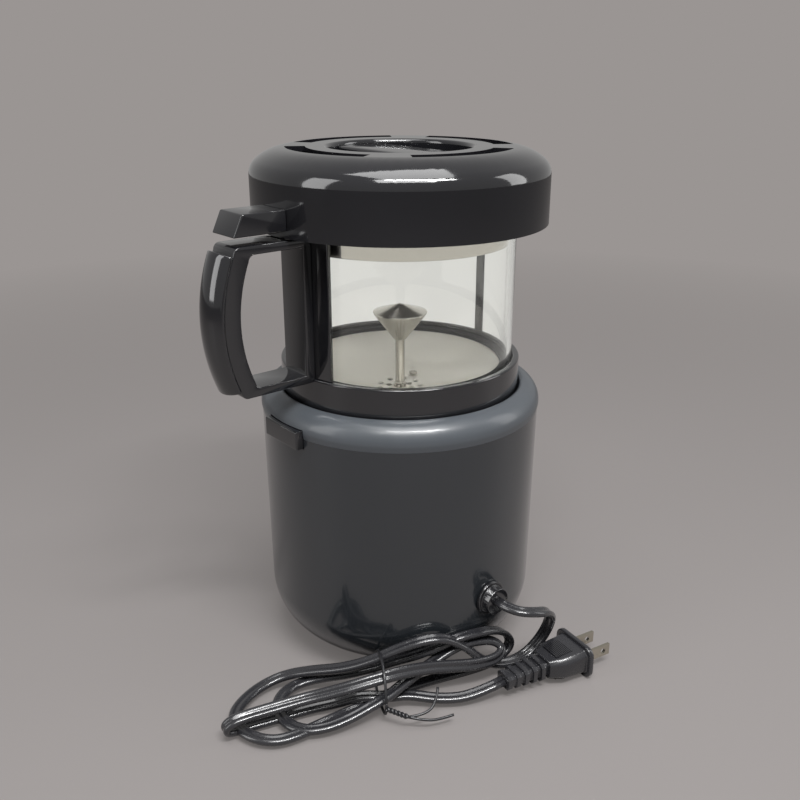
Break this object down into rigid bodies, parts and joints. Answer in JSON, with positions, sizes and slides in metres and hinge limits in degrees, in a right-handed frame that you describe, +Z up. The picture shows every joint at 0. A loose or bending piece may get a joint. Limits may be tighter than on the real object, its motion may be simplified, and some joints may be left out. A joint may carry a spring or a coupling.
{
  "type": "home coffee bean roaster",
  "caption": "Round countertop hot-air bean roaster with a glass jar, lift-off lid, side handle, timer knob and a tied mains lead.",
  "frame": {"origin": "on the table at the middle of the foot ring", "axes": "+Z up the jar's axis, +X towards the handle, +Y where the mains lead leaves, -Y the timer side"},
  "size_m": [0.2137, 0.2086, 0.2676],
  "materials": {
    "gloss_black": "high gloss moulded ABS",
    "gloss_charcoal": "gloss charcoal housing",
    "satin_rim": "satin painted rim",
    "clear_glass": "clear borosilicate glass",
    "polished_steel": "polished stainless steel",
    "brushed_steel": "satin spun stainless steel",
    "galvanised_steel": "galvanised sheet",
    "aluminium": "turned aluminium",
    "black_rubber": "black silicone rubber",
    "cord_pvc": "flexible black PVC",
    "matte_black": "fine textured nylon",
    "mica": "pressed mica sheet",
    "heating_wire": "resistance wire",
    "nickel": "nickel-plated brass",
    "circuit_board": "circuit board",
    "lamp_red": "translucent red lens"
  },
  "bodies": {
    "base": {"base_housing": "gloss_charcoal", "bottom_plate": "matte_black", "foot_ring": "black_rubber", "plate_screws": "nickel", "base_rim": "satin_rim", "motor_can": "galvanised_steel", "motor_screws": "nickel", "rectifier_board": "circuit_board", "chassis_plate": "galvanised_steel", "chassis_posts": "aluminium", "chassis_screws": "nickel", "fan_shroud": "galvanised_steel", "heater_can": "galvanised_steel", "heater_frame": "mica", "heater_coil": "heating_wire", "thermostat": "aluminium", "air_nozzle": "galvanised_steel", "timer_body": "matte_black", "control_panel": "gloss_black", "indicator_lamp": "lamp_red", "cord_gland": "gloss_black", "power_cord": "cord_pvc", "cord_hank": "cord_pvc", "cord_tie": "cord_pvc", "plug_lead": "cord_pvc", "plug_body": "cord_pvc", "plug_strain_relief": "cord_pvc", "plug_blades": "nickel"},
    "rotor": {"motor_shaft": "brushed_steel", "fan_impeller": "matte_black"},
    "knob": {"timer_shaft": "brushed_steel", "timer_knob": "gloss_black"},
    "button": {"release_button": "gloss_black"},
    "jar": {"jar_ring": "gloss_black", "lower_gasket": "black_rubber", "glass_cylinder": "clear_glass", "roasting_bowl": "brushed_steel", "deflector_post": "brushed_steel", "post_nut": "brushed_steel", "deflector_cone": "brushed_steel", "bowl_sensor": "brushed_steel", "front_post": "gloss_black", "back_post": "gloss_black", "jar_top_ring": "gloss_black", "handle_frame": "gloss_black", "handle_grip": "gloss_black"},
    "lid": {"lid_shell": "gloss_black", "lid_cup": "gloss_black", "lid_grip_bar": "gloss_black", "lid_tab": "gloss_black", "lid_liner": "matte_black", "lid_gasket": "black_rubber", "lid_screws": "nickel"},
    "filter": {"filter_ring": "polished_steel", "filter_mesh": "brushed_steel"}
  },
  "joints": [
    {"name": "fan_spin", "type": "hinge", "parent": "base", "child": "rotor", "pos_m": [0, 0, 0.06], "axis": [0, 0, 1], "continuous": true},
    {"name": "timer_turn", "type": "hinge", "parent": "base", "child": "knob", "pos_m": [0, -0.08, 0.085], "axis": [0, -1, 0], "range_deg": [-270, 0]},
    {"name": "release_press", "type": "slide", "parent": "base", "child": "button", "axis": [-1, 0, 0], "range_m": [0, 0.0025], "stiffness_N_per_m": 800, "springref_m": -0.003},
    {"name": "jar_lift", "type": "slide", "parent": "base", "child": "jar", "axis": [0, 0, 1], "range_m": [0, 0.12]},
    {"name": "lid_lift", "type": "slide", "parent": "jar", "child": "lid", "axis": [0, 0, 1], "range_m": [0, 0.08]},
    {"name": "filter_pull", "type": "slide", "parent": "lid", "child": "filter", "axis": [0, 0, -1], "range_m": [0, 0.025]}
  ]
}
